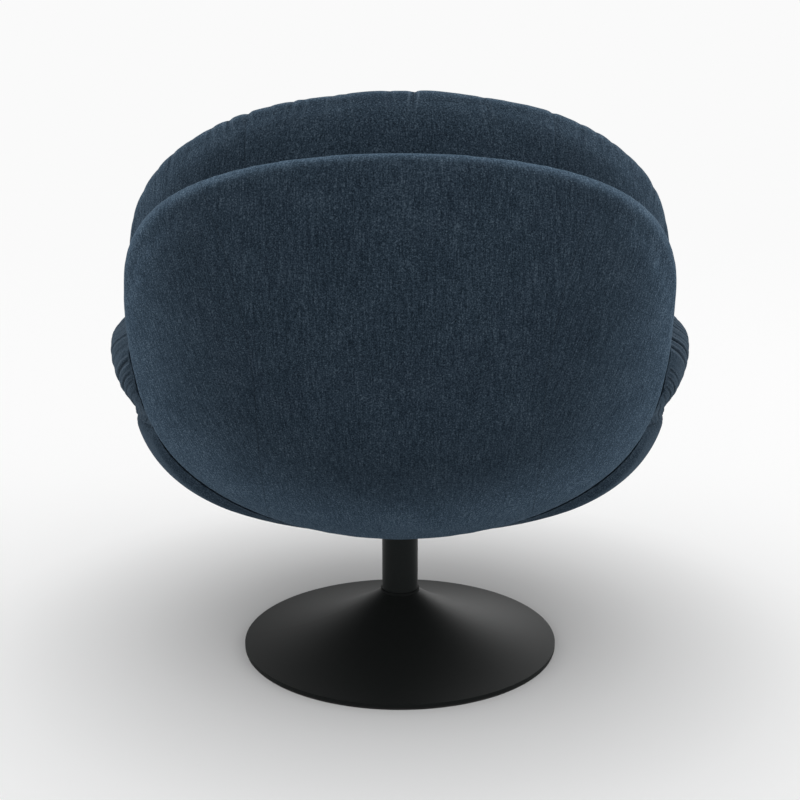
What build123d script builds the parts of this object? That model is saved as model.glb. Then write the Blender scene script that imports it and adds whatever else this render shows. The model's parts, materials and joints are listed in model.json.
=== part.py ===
from build123d import *
import math
import os

# Swivel armchair: a padded seat bowl and a padded back dish hold gathered cushions,
# and turn together on a column with a trumpet base.
# Sizes are in millimetres. +Z is up, the front faces -Y, and the origin is on the floor under the column.

# Clearances
soft_gap = 0.4          # between soft pieces and what they rest against
cushion_gap = 0.8       # between the seat cushion and the back cushion
running_gap = 0.05      # radial, between the spindle and its bushes
ball_gap = 0.05         # between a ball and each race
fixed_gap = 0.03        # radial, between pieces pressed or screwed together
slip_gap = 0.4          # radial, round parts that pass through a wider hole

# Base
base_radius = 240.0
rim_height = 5.0
cover_sheet = 2.0
flare_mid_radius = 112.0
flare_mid_height = 37.0
neck_bottom = 81.0
neck_height = 4.0
floor_pad_thickness = 3.0
ballast_radius = 198.0
ballast_height = 7.0
ballast_hub_radius = 104.0
ballast_hub_height = 12.0

# Column and the bolts under it
column_radius = 27.5
column_wall = 3.0
column_flange_radius = 62.0
column_flange_height = 6.0
column_bolt_circle = 46.0
column_bolt_count = 4
bolt_radius = 4.0
bolt_head_radius = 7.0
bolt_head_height = 5.0
bolt_head_recess = 1.0
column_below_plate = 10.0

# Spindle, bushes and thrust bearing
spindle_radius = 12.5
bush_length = 30.0
lower_bush_bottom = 46.0
race_thickness = 2.0
ball_radius = 2.0
ball_count = 18
cage_height = 2.4
cage_width = 7.0
pocket_gap = 0.15
retaining_ring_radius = 18.0
retaining_ring_height = 2.0
retaining_groove_depth = 1.5
retaining_play = 0.3
spindle_tail = 4.0

# Seat plate and its fixings
plate_size = 170.0
plate_corner = 18.0
plate_thickness = 4.0
hub_length = 14.0
plate_bolt_spacing = 114.0
sleeve_wall = 2.5
tee_flange_radius = 10.0
tee_flange_height = 1.6
tee_barrel_radius = 5.2
tee_barrel_length = 10.0

# Seat bowl, turned about an upright axis in front of the column
bowl_centre_y = -50.0
bowl_bottom = 217.0
bowl_flat_radius = 132.0
bowl_floor_radius = 420.0
bowl_floor_angle = 25.0
bowl_side_radius = 156.0
bowl_rim_angle = 75.0
seat_pad_thickness = 34.0
seat_board_thickness = 12.0
seat_foam_top = 330.0

# Seat cushion: a crowned middle inside a roll that rises from the front to the arms
middle_radius = 251.0
middle_top = 429.0
middle_edge_top = 421.0
roll_radius = 428.0
roll_front_widest = 412.0
roll_arm_widest = 468.0
roll_front_top = 442.0
roll_arm_top = 522.0
roll_rise_start = 25.0
roll_rise_end = 95.0
roll_section_count = 9
roll_tuck = 6.0          # depth of the roll's inner edge inside the middle
roll_drop = 3.0

# Back dish, turned about an upright axis inside the chair
back_axis_y = -127.0
back_joint_y = 338.0
back_joint_z = 420.0
back_joint_lean = 12.0
back_lower_radius = 290.0
back_upper_radius = 1100.0
back_sweep = 75.0
back_tip_angle = 64.5
back_top_z = 725.0
back_trim_lean = 30.0
back_half_width = 360.0
back_widest_share = 0.57
back_upper_power = 2.0
back_lower_power = 2.9
back_bottom_power = 1.85
bottom_blend = 4
back_pad_thickness = 45.0
back_edge_radius = 21.0
back_board_thickness = 12.0
back_board_margin = 52.0
dish_overrun_low = 20.0
dish_overrun_high = 9.0
outline_steps = 28

# Back cushion
cushion_top_thickness = 100.0
cushion_thickness = 165.0
cushion_bottom_thickness = 150.0
cushion_bottom_z = 408.0
cushion_top_z = 807.0
cushion_widest_z = 600.0
cushion_half_width = 368.0
cushion_upper_power = 2.22
cushion_lower_power = 3.0
cushion_side_fill = 0.22
cushion_round = 0.42
cushion_round_limit = 0.35
cushion_overlap = 6.0
cushion_end_turn = 85.0
cushion_section_count = 11

# Back brackets and their screws
bracket_offset_x = 140.0
bracket_width = 40.0
bracket_thickness = 4.0
bracket_front_y = 20.0
bracket_top_z = 520.0
screw_radius = 2.5
screw_head_radius = 5.0
screw_head_height = 3.0
screw_sink = 0.3
screw_length = 9.0
screw_spacing = 44.0
screw_margin = 20.0

# Reach of the shapes that make room for a piece, past the piece itself
cut_reach = 140.0

# Levels that follow from the sizes above
ballast_bottom = floor_pad_thickness
ballast_top = ballast_bottom + ballast_height
column_bottom = ballast_top + ballast_hub_height
plate_top = bowl_bottom
plate_bottom = plate_top - plate_thickness
column_top = plate_bottom - column_below_plate
hub_bottom = plate_bottom - hub_length
upper_race_bottom = hub_bottom - race_thickness
lower_race_top = upper_race_bottom - 2 * (ball_radius + ball_gap)
lower_race_bottom = lower_race_top - race_thickness
column_bore = column_radius - column_wall
bush_radius = column_bore - fixed_gap
race_outer = column_bore - slip_gap
race_inner = spindle_radius + slip_gap
ball_circle = (race_outer + race_inner) / 2
ring_top = lower_bush_bottom - retaining_play
ring_bottom = ring_top - retaining_ring_height
spindle_bottom = ring_bottom - spindle_tail
board_bottom_inset = seat_pad_thickness + soft_gap
board_top_inset = board_bottom_inset + seat_board_thickness
board_top = bowl_bottom + board_top_inset
back_board_outer = back_pad_thickness + soft_gap
back_board_inner = back_board_outer + back_board_thickness


def rod(x, y, low, high, radius):
    """Upright cylinder between two heights."""
    return Pos(x, y, (low + high) / 2) * Cylinder(radius, high - low)


def turned(points, centre_y=0.0):
    """Solid turned about the upright axis from a closed outline of (radius, height) points."""
    face = Plane.XZ * make_face(Polyline(*points, close=True))
    return revolve(Pos(0, centre_y, 0) * face, Axis((0, centre_y, 0), (0, 0, 1)))


def ring(low, high, outer, inner):
    """Upright ring between two heights."""
    return turned([(inner, low), (outer, low), (outer, high), (inner, high)])


def square_pattern(spacing):
    return [(i * spacing / 2, j * spacing / 2) for i in (-1, 1) for j in (-1, 1)]


def circle_pattern(radius, count):
    turns = [2 * math.pi * (i + 0.5) / count for i in range(count)]
    return [(radius * math.cos(t), radius * math.sin(t)) for t in turns]


def polar(centre, radius, angle):
    """Point at an angle below the horizontal, in degrees."""
    a = math.radians(angle)
    return (centre[0] + radius * math.cos(a), centre[1] - radius * math.sin(a))


def arc(centre, radius, start, end):
    """Arc between two angles below the horizontal."""
    return ThreePointArc(
        polar(centre, radius, start),
        polar(centre, radius, (start + end) / 2),
        polar(centre, radius, end),
    )


def upright_arc(at, to):
    """Arc that stands upright at its first point and bends inward to its second."""
    dx, dz = at[0] - to[0], to[1] - at[1]
    radius = (dx * dx + dz * dz) / (2 * dx)
    half_turn = math.atan2(dz, radius - dx) / 2
    middle = (at[0] - radius + radius * math.cos(half_turn), at[1] + radius * math.sin(half_turn))
    return ThreePointArc(at, middle, to)


def level_arc(at, to):
    """Arc that lies level at its first point and falls to its second."""
    dx, dz = to[0] - at[0], at[1] - to[1]
    radius = (dx * dx + dz * dz) / (2 * dz)
    half_turn = math.atan2(dx, radius - dz) / 2
    middle = (at[0] + radius * math.sin(half_turn), at[1] - radius + radius * math.cos(half_turn))
    return ThreePointArc(at, middle, to)


# Base and column

def circle_through(a, b, c):
    """Centre and radius of the circle through three points."""
    d = 2 * (a[0] * (b[1] - c[1]) + b[0] * (c[1] - a[1]) + c[0] * (a[1] - b[1]))
    sq = [p[0] ** 2 + p[1] ** 2 for p in (a, b, c)]
    x = (sq[0] * (b[1] - c[1]) + sq[1] * (c[1] - a[1]) + sq[2] * (a[1] - b[1])) / d
    z = (sq[0] * (c[0] - b[0]) + sq[1] * (a[0] - c[0]) + sq[2] * (b[0] - a[0])) / d
    return (x, z), math.hypot(a[0] - x, a[1] - z)


def trumpet_cover():
    neck_bore = column_radius + slip_gap
    neck_radius = neck_bore + cover_sheet
    rim_top = floor_pad_thickness + rim_height
    rim = (base_radius, rim_top)
    middle = (flare_mid_radius, flare_mid_height)
    neck = (neck_radius, neck_bottom)
    centre, radius = circle_through(rim, middle, neck)

    def under(r):
        return (r, centre[1] - math.sqrt((radius + cover_sheet) ** 2 - (r - centre[0]) ** 2))

    bottom = floor_pad_thickness
    top = neck_bottom + neck_height
    rim_inner = base_radius - cover_sheet
    edges = [
        Polyline((rim_inner, bottom), (base_radius, bottom), rim),
        ThreePointArc(rim, middle, neck),
        Polyline(neck, (neck_radius, top), (neck_bore, top), under(neck_bore)),
        ThreePointArc(under(neck_bore), under(flare_mid_radius), under(rim_inner)),
        Line(under(rim_inner), (rim_inner, bottom)),
    ]
    return revolve(Plane.XZ * make_face(Curve() + edges), Axis.Z)


def column_bolt_places():
    return circle_pattern(column_bolt_circle, column_bolt_count)


bolt_seat = ballast_bottom + bolt_head_recess + bolt_head_height


def ballast_plate():
    body = rod(0, 0, ballast_bottom, ballast_top, ballast_radius)
    body += rod(0, 0, ballast_top, column_bottom, ballast_hub_radius)
    for x, y in column_bolt_places():
        body -= rod(x, y, ballast_bottom, bolt_seat, bolt_head_radius + slip_gap)
        body -= rod(x, y, bolt_seat, column_bottom, bolt_radius + slip_gap)
    return body


def column_tube():
    flange_top = column_bottom + column_flange_height
    tube = ring(column_bottom, column_top, column_radius, column_bore)
    tube += ring(column_bottom, flange_top, column_flange_radius, column_bore)
    for x, y in column_bolt_places():
        tube -= rod(x, y, column_bottom, flange_top, bolt_radius + fixed_gap)
    return tube


def bolt(x, y, head_low, head_high, tip):
    """Bolt with a round head between two heights and a shank up to its tip."""
    return rod(x, y, head_low, head_high, bolt_head_radius) + rod(x, y, head_high, tip, bolt_radius)


def column_bolts():
    tip = column_bottom + column_flange_height
    return Compound([
        bolt(x, y, bolt_seat - bolt_head_height, bolt_seat, tip) for x, y in column_bolt_places()
    ])


# Spindle and bearing

def ball_places():
    return circle_pattern(ball_circle, ball_count)


ball_level = lower_race_top + ball_gap + ball_radius


def ball_cage():
    half = cage_height / 2
    cage = ring(
        ball_level - half, ball_level + half, ball_circle + cage_width / 2, ball_circle - cage_width / 2
    )
    for x, y in ball_places():
        cage -= rod(x, y, ball_level - half, ball_level + half, ball_radius + pocket_gap)
    return cage


def bearing_balls():
    return Compound([Pos(x, y, ball_level) * Sphere(ball_radius) for x, y in ball_places()])


def spindle():
    groove_radius = spindle_radius - retaining_groove_depth
    shaft = rod(0, 0, spindle_bottom, plate_top, spindle_radius)
    return shaft - ring(ring_bottom, ring_top, spindle_radius, groove_radius)


def retaining_ring():
    inner = spindle_radius - retaining_groove_depth + fixed_gap
    return ring(ring_bottom + fixed_gap, ring_top - fixed_gap, retaining_ring_radius, inner)


def seat_plate():
    square = RectangleRounded(plate_size, plate_size, plate_corner)
    plate = Pos(0, 0, plate_bottom) * extrude(square, plate_thickness)
    plate += rod(0, 0, hub_bottom, plate_bottom, race_outer)
    plate -= rod(0, 0, hub_bottom, plate_top, spindle_radius + fixed_gap)
    for x, y in square_pattern(plate_bolt_spacing):
        plate -= rod(x, y, plate_bottom, plate_top, bolt_radius + slip_gap)
    return plate


def plate_bolts():
    return Compound([
        bolt(x, y, plate_bottom - bolt_head_height, plate_bottom, board_top)
        for x, y in square_pattern(plate_bolt_spacing)
    ])


sleeve_top = bowl_bottom + board_bottom_inset


def bolt_sleeves():
    sleeve = ring(plate_top, sleeve_top, bolt_radius + slip_gap + sleeve_wall, bolt_radius + slip_gap)
    return Compound([Pos(x, y, 0) * sleeve for x, y in square_pattern(plate_bolt_spacing)])


def tee_nuts():
    nut = ring(board_top, board_top + tee_flange_height, tee_flange_radius, bolt_radius + fixed_gap)
    nut += ring(board_top - tee_barrel_length, board_top, tee_barrel_radius, bolt_radius + fixed_gap)
    return Compound([Pos(x, y, 0) * nut for x, y in square_pattern(plate_bolt_spacing)])


# Seat bowl

bowl_floor_centre = (bowl_flat_radius, bowl_bottom + bowl_floor_radius)
bowl_side_centre = polar(
    bowl_floor_centre, bowl_floor_radius - bowl_side_radius, 90 - bowl_floor_angle
)
bowl_axis = Axis((0, bowl_centre_y, 0), (0, 0, 1))


def bowl_angle(inset, height):
    """Angle of the side arc at a depth and a height."""
    return math.degrees(math.acos((bowl_side_centre[1] - height) / (bowl_side_radius - inset)))


def bowl_edges(inset, rim_angle):
    """Flat, floor arc and side arc of the bowl at a depth inside its outer surface."""
    turn = 90 - bowl_floor_angle
    floor = arc(bowl_floor_centre, bowl_floor_radius - inset, 90, turn)
    side = arc(bowl_side_centre, bowl_side_radius - inset, turn, 90 - rim_angle)
    return [Line((0, bowl_bottom + inset), floor @ 0), floor, side]


def bowl_turn(edges):
    return revolve(Pos(0, bowl_centre_y, 0) * (Plane.XZ * make_face(Curve() + edges)), bowl_axis)


def bowl_layer(outer_inset, inner_inset, rim_angle, round_rim=False):
    """Turned layer of the bowl between two depths, with a square or a half-round rim."""
    outer = bowl_edges(outer_inset, rim_angle)
    inner = bowl_edges(inner_inset, rim_angle)
    a, b = outer[-1] @ 1, inner[-1] @ 1
    if round_rim:
        tip = (a + b) / 2 + (outer[-1] % 1) * (abs(a - b) / 2)
        rim = ThreePointArc(a, tip, b)
    else:
        rim = Line(a, b)
    return bowl_turn(outer + inner + [rim, Line(outer[0] @ 0, inner[0] @ 0)])


def bowl_inside(inset, top):
    """Everything inside the bowl at a depth, up to a level top."""
    edges = bowl_edges(inset, 90)
    rim = edges[-1] @ 1
    edges += [Line(rim, (0, rim.Y)), Line((0, rim.Y), (0, bowl_bottom + inset))]
    below = Pos(0, bowl_centre_y, top - roll_radius) * Cylinder(2 * roll_radius, 2 * roll_radius)
    return bowl_turn(edges) & below


# Back dish

back_normal = polar((0, 0), 1, back_joint_lean)
back_lower_centre = (
    back_joint_y - back_lower_radius * back_normal[0],
    back_joint_z - back_lower_radius * back_normal[1],
)
back_upper_centre = (
    back_joint_y - back_upper_radius * back_normal[0],
    back_joint_z - back_upper_radius * back_normal[1],
)
back_axis = Axis((0, back_axis_y, 0), (0, 0, 1))
back_tip = polar(back_lower_centre, back_lower_radius, back_tip_angle)


def dish_angle(height):
    """Angle of the upper arc's outer surface at a height."""
    return math.degrees(math.asin((back_upper_centre[1] - height) / back_upper_radius))


def back_layer(outer_inset, inner_inset):
    """Untrimmed solid between two depths of the dish. Depth 0 is the outer surface."""
    low = back_tip_angle + dish_overrun_low
    high = dish_angle(cushion_top_z) - dish_overrun_high
    joint = back_joint_lean
    outer_lower = arc(back_lower_centre, back_lower_radius - outer_inset, low, joint)
    outer_upper = arc(back_upper_centre, back_upper_radius - outer_inset, joint, high)
    inner_upper = arc(back_upper_centre, back_upper_radius - inner_inset, high, joint)
    inner_lower = arc(back_lower_centre, back_lower_radius - inner_inset, joint, low)
    edges = [
        outer_lower,
        outer_upper,
        Line(outer_upper @ 1, inner_upper @ 0),
        inner_upper,
        inner_lower,
        Line(inner_lower @ 1, outer_lower @ 0),
    ]
    profile = Plane.YZ * make_face(Curve() + edges)
    return revolve(profile.rotate(back_axis, -back_sweep), back_axis, 2 * back_sweep)


def outline(half_width, height, widest, upper_power, lower_power, bottom_power):
    """Closed curve, widest at one height, rounder or squarer above, below and at the bottom by its powers."""
    points = []
    for i in range(outline_steps):
        t = 2 * math.pi * i / outline_steps
        c, s = math.cos(t), math.sin(t)
        low_power = lower_power + (bottom_power - lower_power) * s ** bottom_blend
        power = upper_power if s >= 0 else low_power
        rise = (height - widest) if s >= 0 else widest
        x = half_width * math.copysign(abs(c) ** (2 / power), c)
        y = widest + rise * math.copysign(abs(s) ** (2 / power), s)
        points.append((x, y))
    return make_face(Spline(*points, periodic=True))


def leaning_prism(bottom, top, lean, half_width, widest_share, powers, margin=0.0):
    """Prism through the dish along a leaning line of sight, with an outline drawn in by a margin."""
    a = math.radians(lean)
    height = (top[0] - bottom[0]) * math.sin(a) + (top[1] - bottom[1]) * math.cos(a)
    up = Vector(0, math.sin(a), math.cos(a))
    plane = Plane(
        origin=Vector(0, *bottom) + up * margin,
        x_dir=(-1, 0, 0),
        z_dir=(0, math.cos(a), -math.sin(a)),
    )
    drawn = outline(half_width - margin, height - 2 * margin, height * widest_share - margin, *powers)
    return extrude(plane * drawn, back_lower_radius, both=True)


def back_prism(margin):
    top = polar(back_upper_centre, back_upper_radius, dish_angle(back_top_z))
    powers = (back_upper_power, back_lower_power, back_bottom_power)
    return leaning_prism(
        back_tip, top, back_trim_lean, back_half_width, back_widest_share, powers, margin
    )


def round_trim(solid, radius):
    """Round the edges left by trimming a layer with a prism."""
    trimmed = [f for f in solid.faces() if f.geom_type == GeomType.EXTRUSION]
    ends = [f for f in solid.faces() if f.geom_type != GeomType.EXTRUSION]
    shared = ShapeList()
    for face in trimmed:
        for edge in face.edges():
            if any(edge.is_same(other) for end in ends for other in end.edges()):
                shared.append(edge)
    return fillet(shared, radius)


def back_shell_pad():
    return round_trim(back_layer(0, back_pad_thickness) & back_prism(0), back_edge_radius)


def back_board():
    return back_layer(back_board_outer, back_board_inner) & back_prism(back_board_margin)


def back_room():
    """Space taken by the back pad and board, with clearance, for cutting the seat."""
    pad = back_layer(-cut_reach, back_board_outer) & back_prism(-soft_gap)
    board = back_layer(back_pad_thickness, back_board_inner + soft_gap)
    return pad + (board & back_prism(back_board_margin - soft_gap))


def dish_depth(x, z, inset):
    """Y of the dish at a depth, for a place given by its x and z."""
    joint_z = back_joint_z - inset * back_normal[1]
    if z > joint_z:
        centre, radius = back_upper_centre, back_upper_radius - inset
    else:
        centre, radius = back_lower_centre, back_lower_radius - inset
    swing = centre[0] + math.sqrt(radius ** 2 - (z - centre[1]) ** 2) - back_axis_y
    return back_axis_y + math.sqrt(swing ** 2 - x ** 2)


# Back cushion

def cushion_section(turn, grow):
    """Upright section of the back cushion. The turn runs from -90 to 90 degrees across its width."""
    share = math.sin(math.radians(turn))
    upper = (1 - abs(share) ** cushion_upper_power) ** (1 / cushion_upper_power)
    lower = (1 - abs(share) ** cushion_lower_power) ** (1 / cushion_lower_power)
    fill = cushion_side_fill + (1 - cushion_side_fill) * upper
    x = (cushion_half_width + grow) * share
    top = cushion_widest_z + (cushion_top_z - cushion_widest_z) * upper + grow
    bottom = cushion_widest_z - (cushion_widest_z - cushion_bottom_z) * lower - grow
    span = top - bottom
    thick_top = cushion_top_thickness * fill + 2 * grow
    thick_middle = cushion_thickness * fill + 2 * grow
    thick_bottom = cushion_bottom_thickness * fill + 2 * grow
    high = top - min(cushion_round * thick_top, cushion_round_limit * span)
    low = bottom + min(cushion_round * thick_bottom, cushion_round_limit * span)
    middle = (high + low) / 2

    def rear(z):
        return dish_depth(x, z, back_board_inner - cushion_overlap - grow)

    rear_high, rear_low = (rear(high), high), (rear(low), low)
    front_high, front_low = (rear(high) - thick_top, high), (rear(low) - thick_bottom, low)
    crown = ((rear_high[0] + front_high[0]) / 2, top)
    foot = ((rear_low[0] + front_low[0]) / 2, bottom)
    edges = [
        ThreePointArc(rear_low, (rear(middle), middle), rear_high),
        ThreePointArc(rear_high, crown, front_high),
        ThreePointArc(front_high, (rear(middle) - thick_middle, middle), front_low),
        ThreePointArc(front_low, foot, rear_low),
    ]
    return Plane.YZ.offset(x) * make_face(Curve() + edges)


def cushion_form(grow=0.0):
    last = cushion_section_count - 1
    turns = [cushion_end_turn * (2 * i / last - 1) for i in range(cushion_section_count)]
    return loft([cushion_section(turn, grow) for turn in turns])


def back_cushion(room, brackets):
    return cushion_form() - room - brackets


# Seat pieces

rim_centre = (
    polar(bowl_side_centre, bowl_side_radius - seat_pad_thickness / 2, 90 - bowl_rim_angle)
)


def roll_section(turn):
    """Section of the seat roll at a turn round the bowl, where -90 degrees is the front."""
    from_front = abs(turn + 90)
    ease = min(max((from_front - roll_rise_start) / (roll_rise_end - roll_rise_start), 0), 1)
    ease = ease * ease * (3 - 2 * ease)
    widest = (roll_radius, roll_front_widest + (roll_arm_widest - roll_front_widest) * ease)
    top_z = roll_front_top + (roll_arm_top - roll_front_top) * ease
    top = (roll_radius - (top_z - widest[1]), top_z)
    valley = (middle_radius - roll_tuck, middle_edge_top - roll_drop)
    floor_z = seat_foam_top + soft_gap
    inner_floor = (valley[0], floor_z)
    outer_floor = (rim_centre[0] - seat_pad_thickness, floor_z)
    edges = [
        upright_arc(widest, rim_centre),
        Polyline(rim_centre, outer_floor, inner_floor, valley),
        level_arc(top, valley),
        upright_arc(widest, top),
    ]
    a = math.radians(turn)
    plane = Plane(
        origin=(0, bowl_centre_y, 0),
        x_dir=(math.cos(a), math.sin(a), 0),
        z_dir=(math.sin(a), -math.cos(a), 0),
    )
    return plane * make_face(Curve() + edges)


def seat_cushion_form():
    last = roll_section_count - 1
    half = loft([roll_section(180 * i / last - 90) for i in range(roll_section_count)])
    floor_z = seat_foam_top + soft_gap
    edge = (middle_radius, middle_edge_top)
    edges = [
        level_arc((0, middle_top), edge),
        Polyline(edge, (middle_radius, floor_z), (0, floor_z), (0, middle_top)),
    ]
    return half + mirror(half, Plane.YZ) + bowl_turn(edges)


def seat_shell_pad(room):
    pad = bowl_layer(0, seat_pad_thickness, bowl_rim_angle, True) - room
    sleeve_radius = bolt_radius + slip_gap + sleeve_wall
    for x, y in square_pattern(plate_bolt_spacing):
        pad -= rod(x, y, plate_top, sleeve_top, sleeve_radius + slip_gap)
    return pad


def seat_board(room):
    rim_angle = bowl_angle(board_top_inset, seat_foam_top)
    board = bowl_layer(board_bottom_inset, board_top_inset, rim_angle) - room
    for x, y in square_pattern(plate_bolt_spacing):
        board -= rod(x, y, sleeve_top, board_top, tee_barrel_radius + fixed_gap)
    return board


def seat_foam(room, brackets):
    foam = bowl_inside(board_top_inset + soft_gap, seat_foam_top) - room - brackets
    pocket_top = board_top + tee_flange_height + soft_gap
    for x, y in square_pattern(plate_bolt_spacing):
        foam -= rod(x, y, board_top, pocket_top, tee_flange_radius + slip_gap)
    return foam


def seat_cushion(room, brackets):
    pad = bowl_layer(-soft_gap, seat_pad_thickness + soft_gap, bowl_rim_angle, True)
    return seat_cushion_form() - pad - room - brackets - cushion_form(cushion_gap)


# Back brackets

def bracket_form(x, thickness, grow=0.0):
    """Bent strip that lies on the seat board and runs up the inside of the back board."""
    seat_face = board_top_inset + fixed_gap - grow
    back_face = back_board_inner + fixed_gap - grow
    strip = Pos(x, (bracket_front_y + back_joint_y) / 2, bracket_top_z / 2) * Box(
        bracket_width + 2 * grow, back_joint_y - bracket_front_y + 2 * grow, bracket_top_z + 2 * grow
    )
    seat_leg = bowl_layer(seat_face, board_top_inset + fixed_gap + thickness, bowl_rim_angle) & strip
    back_leg = back_layer(back_face, back_board_inner + fixed_gap + thickness) & strip
    seat_leg -= back_layer(-cut_reach, back_face)
    back_leg -= bowl_layer(-cut_reach, seat_face, bowl_rim_angle)
    return seat_leg + back_leg


def seat_screw_plane(x, y):
    """Place on the seat leg, facing into the bowl."""
    radius = bowl_floor_radius - board_top_inset - fixed_gap - bracket_thickness
    out = math.hypot(x, y - bowl_centre_y)
    a = math.asin((out - bowl_flat_radius) / radius)
    outward = Vector(x, y - bowl_centre_y, 0) / out
    origin = (x, y, bowl_floor_centre[1] - radius * math.cos(a))
    return Plane(origin=origin, z_dir=outward * -math.sin(a) + Vector(0, 0, math.cos(a)))


def back_screw_plane(x, z):
    """Place on the back leg, facing into the chair."""
    inset = back_board_inner + fixed_gap + bracket_thickness
    radius = back_upper_radius - inset
    y = dish_depth(x, z, inset)
    swing = math.hypot(x, y - back_axis_y)
    outward = Vector(x, y - back_axis_y, 0) / swing
    a = math.asin((z - back_upper_centre[1]) / radius)
    return Plane(origin=(x, y, z), z_dir=outward * -math.cos(a) - Vector(0, 0, math.sin(a)))


def screw_planes(x):
    seat = [seat_screw_plane(x, bracket_front_y + screw_margin + i * screw_spacing) for i in range(2)]
    back = [back_screw_plane(x, bracket_top_z - screw_margin - i * screw_spacing) for i in range(2)]
    return seat, back


def screw():
    head = rod(0, 0, -screw_sink, screw_head_height - screw_sink, screw_head_radius)
    return head + rod(0, 0, -screw_length, -screw_sink, screw_radius)


def back_bracket(x):
    bracket = bracket_form(x, bracket_thickness)
    seat, back = screw_planes(x)
    for plane in seat + back:
        bracket -= plane * rod(0, 0, -screw_length, screw_head_height, screw_radius + slip_gap)
        bracket -= plane * rod(0, 0, -screw_sink, screw_head_height, screw_head_radius + slip_gap)
    return bracket


def screw_holes(planes):
    return [plane * rod(0, 0, -screw_length, 0, screw_radius + fixed_gap) for plane in planes]


# Build and write each piece

left, right = -bracket_offset_x, bracket_offset_x
room = back_room()
bracket_pocket = bracket_thickness + screw_head_height + soft_gap
bracket_room = bracket_form(left, bracket_pocket, soft_gap) + bracket_form(right, bracket_pocket, soft_gap)
left_seat_places, left_back_places = screw_planes(left)
right_seat_places, right_back_places = screw_planes(right)
seat_places = left_seat_places + right_seat_places
back_places = left_back_places + right_back_places

pieces = {
    "floor_pad": rod(0, 0, 0, floor_pad_thickness, base_radius - cover_sheet / 2),
    "trumpet_cover": trumpet_cover(),
    "ballast_plate": ballast_plate(),
    "column_tube": column_tube(),
    "column_bolts": column_bolts(),
    "lower_bush": ring(
        lower_bush_bottom, lower_bush_bottom + bush_length, bush_radius, spindle_radius + running_gap
    ),
    "upper_bush": ring(
        lower_race_bottom - bush_length, lower_race_bottom, bush_radius, spindle_radius + running_gap
    ),
    "lower_race": ring(lower_race_bottom, lower_race_top, race_outer, race_inner),
    "ball_cage": ball_cage(),
    "bearing_balls": bearing_balls(),
    "upper_race": ring(upper_race_bottom, hub_bottom, race_outer, race_inner),
    "spindle": spindle(),
    "retaining_ring": retaining_ring(),
    "seat_plate": seat_plate(),
    "plate_bolts": plate_bolts(),
    "bolt_sleeves": bolt_sleeves(),
    "tee_nuts": tee_nuts(),
    "seat_board": seat_board(room) - screw_holes(seat_places),
    "seat_shell_pad": seat_shell_pad(room),
    "seat_foam": seat_foam(room, bracket_room),
    "seat_cushion": seat_cushion(room, bracket_room),
    "back_board": back_board() - screw_holes(back_places),
    "back_shell_pad": back_shell_pad(),
    "back_cushion": back_cushion(room, bracket_room),
    "back_bracket_left": back_bracket(left),
    "back_bracket_right": back_bracket(right),
    "bracket_screws": Compound([plane * screw() for plane in seat_places + back_places]),
}

os.makedirs("parts", exist_ok=True)
for name, shape in pieces.items():
    export_step(shape, f"parts/{name}.step")
    print(name, len(shape.solids()), "solids", round(shape.volume / 1000), "cm3", shape.is_valid)
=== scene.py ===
# %% [markdown]
# # A swivel armchair, seen from behind
# The chair's construction was drawn in CAD and packed as a fixed frame of rigid bodies. This lesson
# dresses that frame: it covers the soft solids with stuffed, sewn cloth and finishes the base in matt
# powder coat. Everything is in metres, +Z is up and the front of the chair faces -Y.

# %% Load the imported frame
import json
import math

import bmesh
import bpy
import numpy as np
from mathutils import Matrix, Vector
from mathutils.bvhtree import BVHTree
from mathutils.kdtree import KDTree


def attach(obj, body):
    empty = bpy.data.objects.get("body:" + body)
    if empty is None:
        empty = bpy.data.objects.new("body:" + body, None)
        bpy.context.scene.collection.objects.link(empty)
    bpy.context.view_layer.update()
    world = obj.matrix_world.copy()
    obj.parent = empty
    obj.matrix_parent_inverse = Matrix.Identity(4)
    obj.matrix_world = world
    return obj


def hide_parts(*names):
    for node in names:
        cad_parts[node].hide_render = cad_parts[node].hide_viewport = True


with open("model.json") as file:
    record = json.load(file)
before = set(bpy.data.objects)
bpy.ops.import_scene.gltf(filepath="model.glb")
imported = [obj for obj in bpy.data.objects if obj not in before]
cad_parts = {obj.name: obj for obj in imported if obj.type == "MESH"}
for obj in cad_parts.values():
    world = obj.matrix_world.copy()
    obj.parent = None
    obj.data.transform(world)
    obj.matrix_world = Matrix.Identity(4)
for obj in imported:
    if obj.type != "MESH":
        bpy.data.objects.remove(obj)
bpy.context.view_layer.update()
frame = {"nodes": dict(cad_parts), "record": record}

nodes = frame["nodes"]

# %% [markdown]
# ## The camera
# The base is a circle of known width, so its ellipse in the photograph gives the camera's height,
# distance and tilt. A 50 mm lens looks at the back of the chair, a little downward.

# %% Camera
camera_place = (0.0, 1.632, 0.707)
camera_tilt = 11.32
camera_lens = 50.0

camera_data = bpy.data.cameras.new("camera")
camera_data.lens = camera_lens
camera_data.sensor_width = 36.0
camera = bpy.data.objects.new("camera", camera_data)
camera.location = camera_place
camera.rotation_euler = (math.radians(90 - camera_tilt), 0, math.radians(180))
bpy.context.collection.objects.link(camera)
bpy.context.scene.camera = camera
bpy.context.scene.view_settings.view_transform = "Standard"
print("camera at", camera_place)

# %% [markdown]
# ## The studio
# The photograph has a white room with light from all round, so the floor darkens only near the base.
# A white world gives that light. The floor's colour has painted shade, darker under the chair, and light
# that bounces off it sees a flat darker grey, painted shade that lets less light up onto the chair. One
# soft panel lights the chair from the right, and a second one gives the base its gleam.

# %% Node helpers
def new_material(name):
    """A material with an empty tree, its output and a Principled shader joined to it."""
    material = bpy.data.materials.new(name)
    material.use_nodes = True
    tree = material.node_tree
    tree.nodes.clear()
    output = tree.nodes.new("ShaderNodeOutputMaterial")
    shader = tree.nodes.new("ShaderNodeBsdfPrincipled")
    tree.links.new(shader.outputs[0], output.inputs["Surface"])
    return material, tree, shader


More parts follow.
